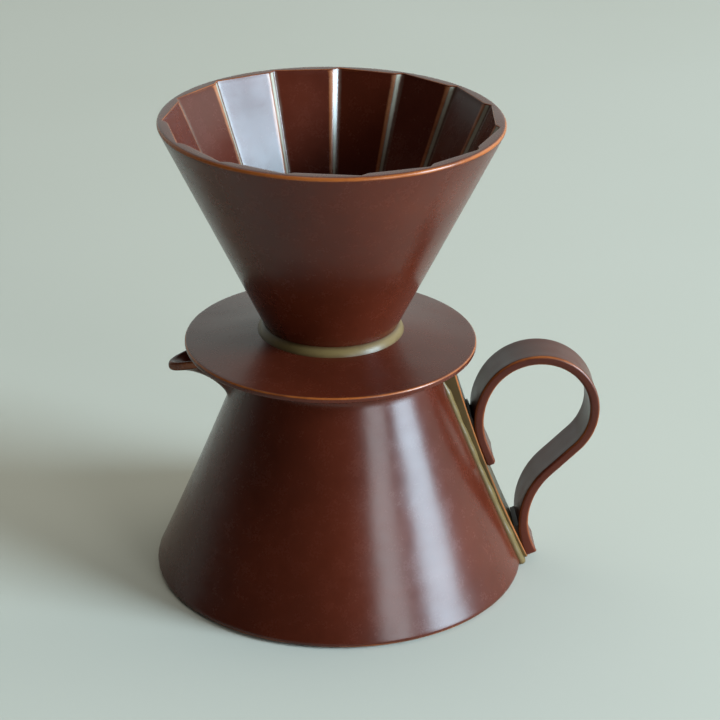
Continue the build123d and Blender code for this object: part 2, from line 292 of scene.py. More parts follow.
def lower_inside():
    """Inside of the wall, down round the pressed coil to the floor and back under the wall."""
    corner = inner_radius(BASE_TOP_Z)
    coil_top_z = BASE_TOP_Z + COIL_LEG
    coil_end = (corner - 1.6 * COIL_LEG, BASE_TOP_Z)
    under_coil = (coil_end[0], BASE_TOP_Z - COIL_LEG / 2)
    points = up_wall(inner_radius, SPOUT_START_Z, coil_top_z, 24)
    points += curve(
        (inner_radius(coil_top_z), coil_top_z),
        (corner - 0.3 * COIL_LEG, BASE_TOP_Z + 0.4 * COIL_LEG),
        (corner - 0.5 * COIL_LEG, BASE_TOP_Z + 0.1 * COIL_LEG),
        coil_end,
        8,
        pool_and_sheen=0.3,
    )
    points += straight(coil_end, under_coil, 2)
    points += straight(under_coil, (inner_radius(wall_low.z), wall_low.z), 3)
    return points


def plain_top():
    """Upper wall, flare, lip and inside of the neck, away from the spout."""
    shoulder = (wall_radius(NECK_Z), NECK_Z)
    nose = (LIP_R - LIP_NOSE, LIP_Z - LIP_NOSE)
    mouth_edge = (MOUTH_R + 0.8 * MM, LIP_Z)
    neck = (inner_radius(NECK_Z), NECK_Z)
    points = up_wall(wall_radius, SPOUT_START_Z, NECK_Z, 12)
    points += curve(
        shoulder,
        (shoulder[0] - 0.6 * MM, NECK_Z + 2.6 * MM),
        (nose[0] - 3.0 * MM, nose[1] - LIP_NOSE),
        (nose[0], nose[1] - LIP_NOSE),
        8,
    )
    points += rounding(nose, LIP_NOSE, -90, 90, 8)
    points += straight((nose[0], LIP_Z), mouth_edge, 3, edge=0.4)
    points += curve(
        mouth_edge,
        (MOUTH_R - 0.8 * MM, LIP_Z),
        (neck[0], NECK_Z + 3.0 * MM),
        neck,
        8,
        edge=0.2,
    )
    points += up_wall(inner_radius, NECK_Z, SPOUT_START_Z, 10)
    return points


def spout_top():
    """The same runs along the middle of the spout: keel, drooping tip and channel floor."""
    tip = SPOUT_TIP_R
    keel_root = (tip - SPOUT_LENGTH, 68.0 * MM)
    keel_tip = (tip - 1.4 * MM, SPOUT_KEEL_Z)
    beak = (tip - 1.6 * MM, SPOUT_TIP_Z + 1.4 * MM)
    channel_tip = (tip - 4.0 * MM, SPOUT_TIP_Z + 0.9 * MM)
    channel_root = (tip - SPOUT_LENGTH, 71.0 * MM)
    outside = (wall_radius(SPOUT_START_Z), SPOUT_START_Z)
    inside = (inner_radius(SPOUT_START_Z), SPOUT_START_Z)
    points = curve(
        outside,
        (outside[0] - 2.4 * MM, SPOUT_START_Z + 6.0 * MM),
        (keel_root[0] - 2.2 * MM, keel_root[1] - 3.0 * MM),
        keel_root,
        12,
    )
    points += curve(
        keel_root,
        (keel_root[0] + 3.4 * MM, keel_root[1] + 4.4 * MM),
        (tip - 9.0 * MM, SPOUT_KEEL_Z + 0.8 * MM),
        keel_tip,
        8,
    )
    points += curve(
        keel_tip,
        (tip + 0.1 * MM, SPOUT_KEEL_Z),
        (tip + 0.3 * MM, SPOUT_TIP_Z + 1.3 * MM),
        beak,
        8,
        edge=0.5,
    )
    points += straight(beak, channel_tip, 3, edge=0.3)
    points += curve(
        channel_tip,
        (tip - 10.0 * MM, SPOUT_TIP_Z + 0.4 * MM),
        (tip - 16.0 * MM, 74.0 * MM),
        channel_root,
        8,
    )
    points += curve(
        channel_root,
        (tip - 23.0 * MM, 67.5 * MM),
        (inside[0] - 1.4 * MM, SPOUT_START_Z + 4.0 * MM),
        inside,
        10,
    )
    return points


def server_outline(azimuth):
    """Whole outline of the pot in one direction, drawn out towards the spout."""
    off_spout = abs(degrees(azimuth) - 180.0)
    pull = exp(-((off_spout / SPOUT_HALF_ANGLE) ** SPOUT_SHARPNESS))
    top = [
        tuple(plain + (pulled - plain) * pull for plain, pulled in zip(a, b))
        for a, b in zip(plain_top(), spout_top())
    ]
    return lower_outside() + top + lower_inside()


def spout_azimuths(half_count):
    """Directions round the pot, crowded together towards the spout."""
    directions = []
    for i in range(-half_count, half_count):
        share = i / half_count
        offset = pi * abs(share) ** 1.5 * (1 if share > 0 else -1)
        directions.append(pi + offset)
    return directions


server_columns = [(azimuth, server_outline(azimuth)) for azimuth in spout_azimuths(SHELL_HALF_COUNT)]
server_shell = skin("server_shell", server_columns, uneven=0.2 * MM)


# ---- server: floor and foot ring ----
FLOOR_INSET = 5.0 * MM        # the floor disc ends this far inside the wall, under the coil
AXIS_GAP = 0.2 * MM           # radius of the pinhole left on the disc's axis
FOOT_RING_T = 6.0 * MM
FOOT_RING_SOFT = 0.5 * MM


def disc_outline():
    """Floor of the pot, let in between the walls."""
    out = inner_radius(BASE_TOP_Z) - FLOOR_INSET
    low, high = base_low.z, base_high.z
    points = straight((AXIS_GAP, low), (out, low), 10)
    points += straight((out, low), (out, high), 2)
    points += straight((out, high), (AXIS_GAP, high), 14)
    return points


def foot_outline():
    """Turned foot ring, its arrises softened by hand."""
    inner, outer = foot_high.y - FOOT_RING_T, foot_high.y
    soft = FOOT_RING_SOFT
    low, high = foot_low.z, foot_high.z
    points = straight((inner, high), (inner, low + soft), 2)
    points += rounding((inner + soft, low + soft), soft, 180, 270, 5, edge=0.4)
    points += straight((inner + soft, low), (outer - soft, low), 4)
    points += rounding((outer - soft, low + soft), soft, -90, 0, 5, edge=0.4)
    points += straight((outer, low + soft), (outer, high), 3)
    return points


server_floor = skin("server_floor", turned(disc_outline(), 128))
server_foot = skin("server_foot_ring", turned(foot_outline(), 192), uneven=0.1 * MM)


# ---- dripper cone: round outside, ratchet facets inside ----
CORNER_SOFT = 0.5 * MM        # how far each ratchet corner is softened along its two runs
CORNER_STEPS = 5
STEP_FACE_STEPS = 6
FACET_STEPS = 14
RIM_ROUND = 1.1 * MM
RIM_BEVEL = 0.55 * MM
TIP_SOFT = 0.7 * MM           # rounding of the drain's edge
TIP_RISE = 1.2 * MM           # the straight outside starts this far above the drain
THIN_BELOW_RIM = 3.0 * MM     # over this depth inside the rim the glaze has run thin


def ratchet_corners():
    """Inside corners at the rim, as (place, edge, whether a step face starts here)."""
    corners = []
    for facet in range(FACETS):
        ridge = RIDGE_AZIMUTH + facet * (360.0 / FACETS)
        for radius, azimuth, edge, starts_step in (
            (RIM_R - VALLEY_WALL, ridge - RIDGE_ANGLE, 0.0, True),
            (RIM_R - RIDGE_WALL, ridge, 0.9, False),
        ):
            angle = radians(azimuth)
            corners.append((Vector((radius * cos(angle), radius * sin(angle))), edge, starts_step))
    return corners


def ratchet_points():
    """Inside outline at the rim as (azimuth, radius, edge, pool and painted reflection), corners
    softened.
    """
    corners = ratchet_corners()
    points = []
    for i, (corner, edge, starts_step) in enumerate(corners):
        before = corners[i - 1][0]
        after = corners[(i + 1) % len(corners)][0]
        to_before = (before - corner).normalized()
        to_after = (after - corner).normalized()
        # rounded corner, then the straight run to the next corner's rounding
        start = corner + to_before * CORNER_SOFT
        end = corner + to_after * CORNER_SOFT
        for step in range(CORNER_STEPS + 1):
            t = step / CORNER_STEPS
            place = start * (1 - t) ** 2 + corner * 2 * t * (1 - t) + end * t * t
            points.append((place, edge, 0.2))
        run_end = after - to_after * CORNER_SOFT
        steps = STEP_FACE_STEPS if starts_step else FACET_STEPS
        for step in range(1, steps):
            # on a step face this value is a painted reflection of the window, a cream band strongest
            # mid-face
            painted_reflection = 1.1 * sin(pi * step / steps) if starts_step else 0.0
            points.append((end.lerp(run_end, step / steps), 0.0, painted_reflection))
    return [(atan2(p.y, p.x), p.length, edge, pool_and_sheen) for p, edge, pool_and_sheen in points]


def cone_outline(rim_inner, ridge_edge, step_reflection):
    """Drain tip, outside, rim and inside of the cone at one point of the ratchet."""
    tip_inner = rim_inner * cone_radius(TIP_Z) / RIM_R
    tip_outer = cone_radius(TIP_Z)
    tip_centre = (tip_outer - TIP_SOFT, TIP_Z + TIP_SOFT)
    points = [(tip_inner + TIP_SOFT, TIP_Z, 0.3, 0.0)]
    points += rounding(tip_centre, TIP_SOFT, -90, -degrees(CONE_LEAN), 5, edge=0.3)

    bottom = (tip_outer + CONE_TAPER * TIP_RISE, TIP_Z + TIP_RISE)
    top_z = RIM_Z - RIM_ROUND * (1 + sin(CONE_LEAN))
    points += straight(bottom, (cone_radius(top_z), top_z), 60)

    centre = (cone_radius(top_z) - RIM_ROUND * cos(CONE_LEAN), RIM_Z - RIM_ROUND)
    points += rounding(centre, RIM_ROUND, -degrees(CONE_LEAN), 90, 8, edge=1.0)
    flat_end = rim_inner - CONE_TAPER * RIM_BEVEL + RIM_BEVEL
    inside_top_z = RIM_Z - RIM_BEVEL
    points += straight((centre[0], RIM_Z), (flat_end, RIM_Z), 3, edge=0.15)
    points += rounding((flat_end, inside_top_z), RIM_BEVEL, 90, 165, 5, edge=0.85)

    # down the facets; over the first few millimetres the glaze has run thin
    steps = 60
    for i in range(steps + 1):
        z = inside_top_z - (inside_top_z - TIP_Z - TIP_SOFT) * i / steps
        radius = rim_inner * cone_radius(z) / RIM_R
        near_rim = max(0.0, 1.0 - (RIM_Z - z) / THIN_BELOW_RIM)
        # each step face carries its painted reflection unchanged from the rim down to the drain
        points.append((radius, z, max(ridge_edge, 0.6 * near_rim), step_reflection))
    return points


cone_columns = [
    (azimuth, cone_outline(rim_inner, edge, pool_and_sheen))
    for azimuth, rim_inner, edge, pool_and_sheen in ratchet_points()
]
dripper_cone = skin("dripper_cone_skin", cone_columns, DRIPPER_X, 0.2 * MM)


# ---- saucer, joint bead and locating ring ----
SAUCER_EDGE_Z = 85.5 * MM
SAUCER_EDGE_T = 2.4 * MM
SAUCER_SEAT_R = 46.0 * MM     # flat underside up to here, then it lifts to the edge
EDGE_SOFT = 0.9 * MM
RING_T = 3.0 * MM
RING_SOFT = 0.84 * MM
RING_COIL = 2.2 * MM          # leg of the coil in the corner between ring and saucer
DRIPPER_COLUMNS = 256


def saucer_outline():
    """Flat seat, lifted edge and the slightly domed top that runs in under the bead."""
    hub = cone_radius(UNDERSIDE_Z) - 1.0 * MM
    low_z, top_z = SAUCER_EDGE_Z, SAUCER_EDGE_Z + SAUCER_EDGE_T
    edge_centre = SAUCER_R - EDGE_SOFT
    under_bead = (BEAD_OUT_R - 1.5 * MM, BEAD_Z + 0.2 * MM)
    points = straight((hub, UNDERSIDE_Z), (SAUCER_SEAT_R, UNDERSIDE_Z), 10)
    points += straight((SAUCER_SEAT_R, UNDERSIDE_Z), (edge_centre, low_z), 4)
    points += rounding((edge_centre, low_z + EDGE_SOFT), EDGE_SOFT, -90, 0, 6, edge=0.25)
    points += straight((SAUCER_R, low_z + EDGE_SOFT), (SAUCER_R, top_z - EDGE_SOFT), 2, edge=0.35)
    points += rounding((edge_centre, top_z - EDGE_SOFT), EDGE_SOFT, 0, 80, 7, edge=1.0)
    points += curve(
        (edge_centre, top_z),
        (0.6 * SAUCER_R + 0.4 * BEAD_OUT_R, top_z + 0.9 * MM),
        (0.25 * SAUCER_R + 0.75 * BEAD_OUT_R, BEAD_Z - 1.1 * MM),
        under_bead,
        30,
    )
    points += straight(under_bead, (hub, BEAD_Z), 2)
    return points


def bead_outline(azimuth):
    """Coil worked into the joint; the glaze pooled on it unevenly."""
    swell = 1.0 + 0.08 * sin(3 * azimuth + 0.4) + 0.06 * sin(7 * azimuth + 1.9)
    contact = BEAD_OUT_R + 0.5 * MM * (swell - 1.0)
    inner = (cone_radius(BEAD_TOP_Z) - 1.2 * MM, BEAD_Z - 0.6 * MM)
    upper = (cone_radius(BEAD_TOP_Z + 0.6 * MM), BEAD_TOP_Z + 0.6 * MM)
    points = straight(inner, (contact, BEAD_Z - 0.35 * MM), 2)
    # the pool lies on the shoulder, thinning towards both borders of the coil; its pale middle is
    # partly painted highlight
    steps = 16
    shoulder = curve(
        (contact + 0.3 * MM, BEAD_Z - 0.3 * MM),
        (contact - 0.3 * MM, BEAD_Z + 1.3 * MM * swell),
        (upper[0] + 1.1 * MM, BEAD_TOP_Z - 0.5 * MM),
        upper,
        steps,
    )
    points += [
        (radius, z, 0.0, sin(pi * (i + 0.5) / steps))
        for i, (radius, z, _, _) in enumerate(shoulder)
    ]
    points += straight(upper, inner, 3)
    return points


def ring_outline():
    """Locating ring with the coil that joins it to the saucer's underside."""
    inner, outer = RING_OUT_R - RING_T, RING_OUT_R
    soft = RING_SOFT
    low, high = ring_low.z, ring_high.z
    points = rounding((inner + soft, low + soft), soft, 180, 270, 6, edge=0.5)
    points += straight((inner + soft, low), (outer - soft, low), 2, edge=0.4)
    points += rounding((outer - soft, low + soft), soft, -90, 0, 6, edge=0.5)
    points += straight((outer, low + soft), (outer, high), 6)
    points += straight((outer, high), (inner - RING_COIL, high), 3)
    points += curve(
        (inner - RING_COIL, high),
        (inner - 0.45 * RING_COIL, high - 0.1 * RING_COIL),
        (inner, high - 0.5 * RING_COIL),
        (inner, high - RING_COIL),
        6,
        pool_and_sheen=0.4,
    )
    points += straight((inner, high - RING_COIL), (inner, low + soft), 4)
    return points


saucer_columns = turned(saucer_outline(), DRIPPER_COLUMNS)
bead_columns = [(azimuth, bead_outline(azimuth)) for azimuth in even_azimuths(DRIPPER_COLUMNS)]
ring_columns = turned(ring_outline(), DRIPPER_COLUMNS)
dripper_saucer = skin("dripper_saucer_skin", saucer_columns, DRIPPER_X, 0.15 * MM)
joint_bead = skin("cone_joint_bead_skin", bead_columns, DRIPPER_X)
locating_ring = skin("locating_ring_skin", ring_columns, DRIPPER_X, 0.1 * MM)


# ---- handle: where it runs ----
UP_WALL = Vector((-sin(WALL_LEAN), 0, cos(WALL_LEAN)))
OUT_OF_WALL = Vector((cos(WALL_LEAN), 0, sin(WALL_LEAN)))
ACROSS = Vector((0, 1, 0))
STRAP_OFFSET = STRIP_T - STRAP_SINK + STRAP_T / 2
STRIP_SUNK = 1.4 * MM         # the strip's skin reaches this far into the wall


def wall_point(z, out=0.0):
    """Point on the wall's outside under the handle, moved off it by out."""
    return Vector((wall_radius(z), 0, z)) + OUT_OF_WALL * out


def line_stations(start, end, spacing):
    """Points and directions along a straight run, without its last point."""
    length = (end - start).length
    steps = max(1, ceil(length / spacing))
    along = (end - start).normalized()
    return [(start.lerp(end, i / steps), along) for i in range(steps)]


def arc_stations(centre, radius, start, end, spacing):
    """The same round an arc in the handle's upright plane; angles in radians from +X."""
    steps = max(2, ceil(abs(end - start) * radius / spacing))
    way = 1 if end > start else -1
    stations = []
    for i in range(steps):
        angle = start + (end - start) * i / steps
        spoke = Vector((cos(angle), 0, sin(angle)))
        along = Vector((-sin(angle), 0, cos(angle))) * way
        stations.append((centre + spoke * radius, along))
    return stations


def strap_stations(spacing):
    """Tail on the strip, finger loop, swan bend and foot, as the design lays them."""
    # the tail eases off the strip round a wider bend that runs into the loop
    off_line = (LOOP_CENTRE - wall_point(STRIP_MIDDLE_Z, STRAP_OFFSET)).dot(OUT_OF_WALL)
    outwards = TAIL_BEND_R - off_line
    downwards = sqrt((TAIL_BEND_R - LOOP_R) ** 2 - outwards ** 2)
    bend_centre = LOOP_CENTRE + OUT_OF_WALL * outwards - UP_WALL * downwards
    tail_end = bend_centre - OUT_OF_WALL * TAIL_BEND_R
    tail_start = tail_end - UP_WALL * TAIL_LENGTH
    into_loop = LOOP_CENTRE - bend_centre
    join = atan2(into_loop.z, into_loop.x)

    # out of the loop on a straight, then the reverse bend lays it back on the strip
    leave = radians(LOOP_LEAVES_AT)
    loop_end = LOOP_CENTRE + Vector((cos(leave), 0, -sin(leave))) * LOOP_R
    run = Vector((-sin(leave), 0, -cos(leave)))
    foot_end = wall_point(STRAP_FOOT_Z, STRAP_OFFSET)
    gap = (loop_end - foot_end).dot(OUT_OF_WALL)
    crossing = loop_end + run * (gap / -run.dot(OUT_OF_WALL))
    tangent = SWAN_R * tan(run.angle(-UP_WALL) / 2)
    swan_start = crossing - run * tangent
    swan_end = crossing - UP_WALL * tangent
    swan_centre = swan_end + OUT_OF_WALL * SWAN_R
    first = swan_start - swan_centre

    stations = line_stations(tail_start, tail_end, spacing)
    stations += arc_stations(bend_centre, TAIL_BEND_R, pi + WALL_LEAN, join, spacing)
    stations += arc_stations(LOOP_CENTRE, LOOP_R, join, -leave, spacing)
    stations += line_stations(loop_end, swan_start, spacing)
    stations += arc_stations(swan_centre, SWAN_R, atan2(first.z, first.x), pi + WALL_LEAN, spacing)
    stations += line_stations(swan_end, foot_end, spacing)
    stations.append((foot_end, -UP_WALL))
    return stations


def strip_stations(spacing):
    """Middle line of the strip with its half thickness: hollow face, thicker where it bridges."""
    steps = ceil((STRIP_TOP_Z - STRIP_BOTTOM_Z) / spacing)
    ends = (wall_point(STRIP_TOP_Z, STRIP_TOP_T), wall_point(STRIP_BOTTOM_Z, STRIP_T))
    middle = wall_point(STRIP_MIDDLE_Z, STRIP_T)
    share = (STRIP_TOP_Z - STRIP_MIDDLE_Z) / (STRIP_TOP_Z - STRIP_BOTTOM_Z)
    chord = ends[0].lerp(ends[1], share)
    sag = (middle - chord) / (4 * share * (1 - share))
    stations, halves = [], []
    for i in range(steps + 1):
        t = i / steps
        face = ends[0].lerp(ends[1], t) + sag * 4 * t * (1 - t)
        thick = (face.x - wall_radius(face.z)) * cos(WALL_LEAN) + STRIP_SUNK
        stations.append((face - OUT_OF_WALL * (thick / 2), -UP_WALL))
        halves.append(thick / 2)
    return stations, halves


# ---- handle: ribbons laid along those lines ----
END_SOFT = 0.8 * MM           # length over which a ribbon's two ends are thinned
ARC_STEPS = 6                 # round each soft corner of a ribbon's section
WIDE_STEPS = 8                # across its faces
NARROW_STEPS = 2              # up its sides


def ribbon_section(half_width, half_thick, corner, raised):
    """Flat ribbon with soft corners; its long edges stand a little proud of the middle."""
    corner = min(corner, 0.98 * half_thick, 0.98 * half_width)
    points = []
    quarters = (
        (half_width - corner, half_thick - corner, 0),
        (-half_width + corner, half_thick - corner, 90),
        (-half_width + corner, -half_thick + corner, 180),
        (half_width - corner, -half_thick + corner, 270),
    )
    half_arc = ARC_STEPS / 2
    for number, (x, y, start) in enumerate(quarters):
        for step in range(ARC_STEPS + 1):
            angle = radians(start + 90 * step / ARC_STEPS)
            middle = 1.0 - abs(step - half_arc) / half_arc
            points.append((x + corner * cos(angle), y + corner * sin(angle), 0.35 + 0.65 * middle))
        next_x, next_y, _ = quarters[(number + 1) % len(quarters)]
        reach_x = corner * cos(radians(start + 90))
        reach_y = corner * sin(radians(start + 90))
        begin = (x + reach_x, y + reach_y)
        finish = (next_x + reach_x, next_y + reach_y)
        flat_steps = WIDE_STEPS if number % 2 == 0 else NARROW_STEPS
        for step in range(1, flat_steps):
            t = step / flat_steps
            points.append((
                begin[0] + (finish[0] - begin[0]) * t,
                begin[1] + (finish[1] - begin[1]) * t,
                0.25 * abs(2 * t - 1) ** 6,
            ))
    shaped = []
    for x, y, edge in points:
        face = 1 if y > 0 else -1
        lift = raised * (abs(x) / half_width) ** 4 * face
        shaped.append((x, y + lift - raised * face * 0.5, edge))
    return shaped


def drawn_in(depth, radius):
    """How far a rounding of this radius has drawn in at a depth into it."""
    return radius - sqrt(max(radius ** 2 - depth ** 2, 0.0))


def ribbon(name, stations, half_width, half_thicks, corner, raised, bare):
    """Skin of a ribbon along its stations; bare tells how far its arrises lose their glaze."""
    lengths = [0.0]
    for (a, _), (b, _) in zip(stations, stations[1:]):
        lengths.append(lengths[-1] + (b - a).length)
    total = lengths[-1]
    vertices, edges = [], []
    for (place, along), length, half_thick in zip(stations, lengths, half_thicks):
        to_end = total - length
        half = half_width
        if to_end < END_ROUND:
            half -= drawn_in(END_ROUND - to_end, END_ROUND)
        thick = half_thick
        for distance in (length, to_end):
            if distance < END_SOFT:
                thick -= 0.55 * END_SOFT * drawn_in((END_SOFT - distance) / END_SOFT, 1)
        at_end = max(0.0, 1.0 - min(length, to_end) / (1.2 * END_SOFT))
        out = ACROSS.cross(along).normalized()
        for across, up, edge in ribbon_section(half, thick, corner, raised):
            vertices.append(place + ACROSS * across + out * up)
            edges.append(bare * max(edge, 0.8 * at_end))
    rows = len(stations)
    count = len(vertices) // rows
    faces = end_faces(rows, count) + side_faces(rows, count, closed=False)
    return finish_mesh(name, vertices, faces, edges, [0.0] * len(vertices))


FOOT_SWELL = 0.6 * MM         # the strap thickens where its foot was pressed down
FOOT_SWELL_LENGTH = 14.0 * MM
STRAP_SPACING = 0.5 * MM
STRIP_SPACING = 0.6 * MM

strap_line = strap_stations(STRAP_SPACING)
strap_halves = [
    STRAP_T / 2 + FOOT_SWELL * max(0.0, 1 - STRAP_SPACING * i / FOOT_SWELL_LENGTH)
    for i in reversed(range(len(strap_line)))
]
handle_strap = ribbon(
    "handle_strap_skin",
    strap_line,
    STRAP_W / 2,
    strap_halves,
    corner=1.1 * MM,
    raised=0.25 * MM,
    bare=0.72,
)

strip_line, strip_halves = strip_stations(STRIP_SPACING)
handle_strip = ribbon(
    "handle_backing_strip_skin",
    strip_line,
    STRIP_W / 2,
    strip_halves,
    corner=0.7 * MM,
    raised=0.1 * MM,
    bare=1.0,
)


# ---- handle: beads of pooled glaze along the strip ----
SEAM_SPREAD = 0.9 * MM        # towards its lower end the seam lies this much wider
SEAM_TOP_GAP = 6.0 * MM       # it starts this far below the strip's top
SEAM_LOWEST_Z = 1.2 * MM
SEAM_STEPS = 130
SEAM_TURN_STEPS = 13
SEAM_SIDES = 14


def seam_middle(side):
    """Line on the wall down the strip's edge and round its lower corner."""
    top_z = STRIP_TOP_Z - SEAM_TOP_GAP
    turn_z = STRIP_BOTTOM_Z + END_ROUND * cos(WALL_LEAN)
    half = STRIP_W / 2
    route = []
    for i in range(SEAM_STEPS):
        z = top_z + (turn_z - top_z) * i / SEAM_STEPS
        route.append((half + SEAM_SPREAD * i / SEAM_STEPS, z))
    for i in range(SEAM_TURN_STEPS + 1):
        angle = radians(90 * i / SEAM_TURN_STEPS)
        across = half + SEAM_SPREAD - END_ROUND + END_ROUND * cos(angle)
        route.append((across, turn_z - END_ROUND * sin(angle) * cos(WALL_LEAN)))
    middle = []
    for across, z in route:
        z = max(z, SEAM_LOWEST_Z)
        middle.append(Vector((sqrt(wall_radius(z) ** 2 - across ** 2), side * across, z)))
    return middle


def seam(name, side):
    """Bead of pooled glaze in the corner between the strip's edge and the wall."""
    middle = seam_middle(side)
    vertices, pools_and_sheen = [], []
    for i, place in enumerate(middle):
        before = middle[max(i - 1, 0)]
        after = middle[min(i + 1, len(middle) - 1)]
        along = (after - before).normalized()
        out = Vector((place.x, place.y, SERVER_TAPER * hypot(place.x, place.y))).normalized()
        sideways = along.cross(out).normalized()
        # it tapers at both ends, fills out downwards and swells a little unevenly
        ends = min(1.0, 0.25 + i / 12, 0.25 + (len(middle) - 1 - i) / 6)
        uneven = 0.08 * sin(i * 0.19 + side) + 0.05 * sin(i * 0.43 + 2 * side)
        fullness = 0.82 + 0.3 * i / SEAM_STEPS + uneven
        size = SEAM_R * ends * fullness
        for k in range(SEAM_SIDES):
            angle = 2 * pi * k / SEAM_SIDES
            vertex = place + sideways * size * cos(angle) + out * size * 0.8 * sin(angle)
            vertex.z = max(vertex.z, wall_low.z)
            vertices.append(vertex)
            pools_and_sheen.append(0.3 + 0.7 * max(sin(angle), 0.0))
    rows = len(middle)
    faces = end_faces(rows, SEAM_SIDES) + side_faces(rows, SEAM_SIDES, closed=False)
    return finish_mesh(name, vertices, faces, [0.0] * len(vertices), pools_and_sheen)


front_seam = seam("strip_seam_front_skin", -1)
back_seam = seam("strip_seam_back_skin", 1)


# ---- materials ----
class Nodes:
    """Short hand for building one material's node tree."""

    def __init__(self, name):
        self.material = bpy.data.materials.new(name)
        self.material.use_nodes = True
        self.tree = self.material.node_tree
        self.shader = self.tree.nodes["Principled BSDF"]
        self.place = self.tree.nodes.new("ShaderNodeTexCoord").outputs["Object"]

    def link(self, source, target):
        self.tree.links.new(source, target)

    def stretched(self, scale):
        node = self.tree.nodes.new("ShaderNodeMapping")
        node.inputs["Scale"].default_value = scale
        self.link(self.place, node.inputs["Vector"])
        return node.outputs["Vector"]

    def noise(self, scale, detail=3.0, roughness=0.5, vector=None, distortion=0.0):
        node = self.tree.nodes.new("ShaderNodeTexNoise")
        node.inputs["Scale"].default_value = scale
        node.inputs["Detail"].default_value = detail
        node.inputs["Roughness"].default_value = roughness
        node.inputs["Distortion"].default_value = distortion
        self.link(vector or self.place, node.inputs["Vector"])
        return node.outputs["Fac"]

    def ramp(self, source, stops):
        """Value or colour ramp through (position, colour or grey) stops."""
        node = self.tree.nodes.new("ShaderNodeValToRGB")
        band = node.color_ramp
        while len(band.elements) < len(stops):
            band.elements.new(0.5)
        for element, (position, shade) in zip(band.elements, stops):
            element.position = position
            element.color = shade if isinstance(shade, tuple) else (shade, shade, shade, 1.0)
        self.link(source, node.inputs["Fac"])
        return node.outputs["Color"]

    def mix(self, factor, a, b):
        node = self.tree.nodes.new("ShaderNodeMix")
        node.data_type = "RGBA"
        for socket, value in ((node.inputs[0], factor), (node.inputs[6], a), (node.inputs[7], b)):
            if isinstance(value, (int, float, tuple)):
                socket.default_value = value
            else:
                self.link(value, socket)
        return node.outputs[2]

    def math(self, operation, a, b):
        node = self.tree.nodes.new("ShaderNodeMath")
        node.operation = operation
        for socket, value in ((node.inputs[0], a), (node.inputs[1], b)):
            if isinstance(value, (int, float)):
                socket.default_value = value
            else:
                self.link(value, socket)
        return node.outputs[0]

    def weighted(self, *parts):
        """Sum of (source, weight) parts."""
        total = None
        for source, weight in parts:
            part = self.math("MULTIPLY", source, weight)
            total = part if total is None else self.math("ADD", total, part)
        return total

    def attribute(self, name):
        node = self.tree.nodes.new("ShaderNodeAttribute")
        node.attribute_name = name
        return node.outputs["Fac"]

    def bump(self, height, strength, distance, normal=None):
        node = self.tree.nodes.new("ShaderNodeBump")
        node.inputs["Strength"].default_value = strength
        node.inputs["Distance"].default_value = distance
        self.link(height, node.inputs["Height"])
        if normal:
            self.link(normal, node.inputs["Normal"])
        return node.outputs["Normal"]


def colour(red, green, blue):
    """Linear colour from display values 0 to 255."""
    def linear(value):
        value /= 255.0
        return value / 12.92 if value <= 0.04045 else ((value + 0.055) / 1.055) ** 2.4
    return (linear(red), linear(green), linear(blue), 1.0)


RUST = colour(152, 80, 32)


def broken_pooled_and_sheen(nodes, base, pooled_and_sheen_colour):
    """Rust where the glaze breaks thin on arrises; a second colour on pools, painted reflections and
    highlights.
    """
    # it breaks unevenly along an arris and runs out to a ragged line
    ragged = nodes.noise(240.0, detail=5.0, roughness=0.6)
    drift = nodes.noise(34.0, detail=2.0)
    edge = nodes.math("MULTIPLY", nodes.attribute("edge"), nodes.weighted((ragged, 0.6), (drift, 1.4)))
    edge = nodes.ramp(edge, [(0.45, 0.0), (0.95, 1.0)])
    base = nodes.mix(nodes.math("MULTIPLY", edge, 0.9), base, RUST)
    # the pool values also carry the cone steps' painted reflection and, on the bead, partly a painted
    # highlight
    pool_and_sheen = nodes.math("MULTIPLY", nodes.attribute("pool_and_sheen"), nodes.math("ADD", ragged, 0.5))
    pool_and_sheen = nodes.ramp(pool_and_sheen, [(0.1, 0.0), (0.9, 1.0)])
    return nodes.mix(nodes.math("MULTIPLY", pool_and_sheen, 0.9), base, pooled_and_sheen_colour)


def melt_relief(nodes, waves):
    """Slow waves left by throwing and by the melt, then the fine skin of the glaze."""
    relief = nodes.bump(nodes.noise(42.0, detail=1.0), 0.5 * waves, 0.0009)
    throwing = nodes.noise(50.0, detail=1.0, vector=nodes.stretched((0.15, 0.15, 4.0)))
    relief = nodes.bump(throwing, 0.25 * waves, 0.0002, relief)
    return nodes.bump(nodes.noise(700.0, detail=2.0), 0.1, 0.00005, relief)


def glaze(name, tones, pooled_and_sheen_colour, rough=(0.23, 0.29), waves=1.0, shine=0.3):
    """Satin iron glaze: quiet mottle in three tones, rust on arrises, paler on pools, painted
    reflections and highlights.
    """
    nodes = Nodes(name)
    broad = nodes.noise(22.0, detail=3.0, roughness=0.5, distortion=0.3)
    mottle = nodes.noise(180.0, detail=3.0, roughness=0.5)
    speck = nodes.noise(1300.0, detail=3.0, roughness=0.65)
    blend = nodes.weighted((broad, 0.6), (mottle, 0.15), (speck, 0.25))
    dark, body, light = tones
    base = nodes.ramp(blend, [(0.2, dark), (0.5, body), (0.8, light)])
    base = broken_pooled_and_sheen(nodes, base, pooled_and_sheen_colour)
    nodes.link(base, nodes.shader.inputs["Base Color"])

    gloss = nodes.weighted((mottle, 0.6), (speck, 0.4))
    roughness = nodes.ramp(gloss, [(0.35, rough[0]), (0.65, rough[1])])
    nodes.link(roughness, nodes.shader.inputs["Roughness"])
    nodes.shader.inputs["Specular IOR Level"].default_value = shine
    nodes.shader.inputs["Coat Weight"].default_value = 0.35 * shine
    nodes.shader.inputs["Coat Roughness"].default_value = 0.2
    nodes.link(melt_relief(nodes, waves), nodes.shader.inputs["Normal"])
    return nodes.material


